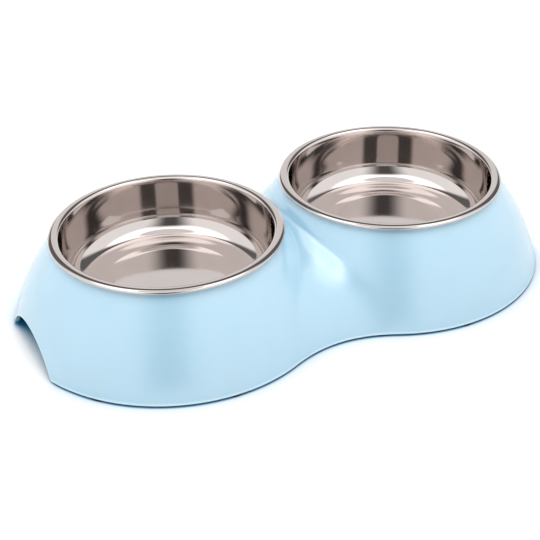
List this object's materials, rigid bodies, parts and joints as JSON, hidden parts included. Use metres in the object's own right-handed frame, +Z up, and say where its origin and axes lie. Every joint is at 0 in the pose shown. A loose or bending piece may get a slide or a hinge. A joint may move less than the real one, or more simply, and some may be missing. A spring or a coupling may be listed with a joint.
{
  "type": "double pet bowl",
  "caption": "Two lift-out stainless steel bowls with turned rims, hung side by side in a waisted moulded stand with finger notches and rubber feet, for feeding and watering a pet.",
  "frame": {"origin": "on the floor under the feet, midway between the two bowls", "axes": "+X from the left bowl to the right bowl, +Y to the back, +Z up"},
  "size_m": [0.2774, 0.1594, 0.0494],
  "materials": {
    "stand_plastic": "glossy pale blue moulded resin",
    "bowl_steel": "polished pressed stainless steel",
    "foot_rubber": "matt black rubber"
  },
  "bodies": {
    "base": {"stand": "stand_plastic", "foot_left_front_outer": "foot_rubber", "foot_left_front_inner": "foot_rubber", "foot_left_back_outer": "foot_rubber", "foot_left_back_inner": "foot_rubber", "foot_right_front_outer": "foot_rubber", "foot_right_front_inner": "foot_rubber", "foot_right_back_outer": "foot_rubber", "foot_right_back_inner": "foot_rubber"},
    "food_bowl_body": {"food_bowl": "bowl_steel"},
    "water_bowl_body": {"water_bowl": "bowl_steel"}
  },
  "joints": [
    {"name": "food_bowl_lift", "type": "slide", "parent": "base", "child": "food_bowl_body", "axis": [0, 0, 1], "range_m": [0, 0.06]},
    {"name": "water_bowl_lift", "type": "slide", "parent": "base", "child": "water_bowl_body", "axis": [0, 0, 1], "range_m": [0, 0.06]}
  ]
}
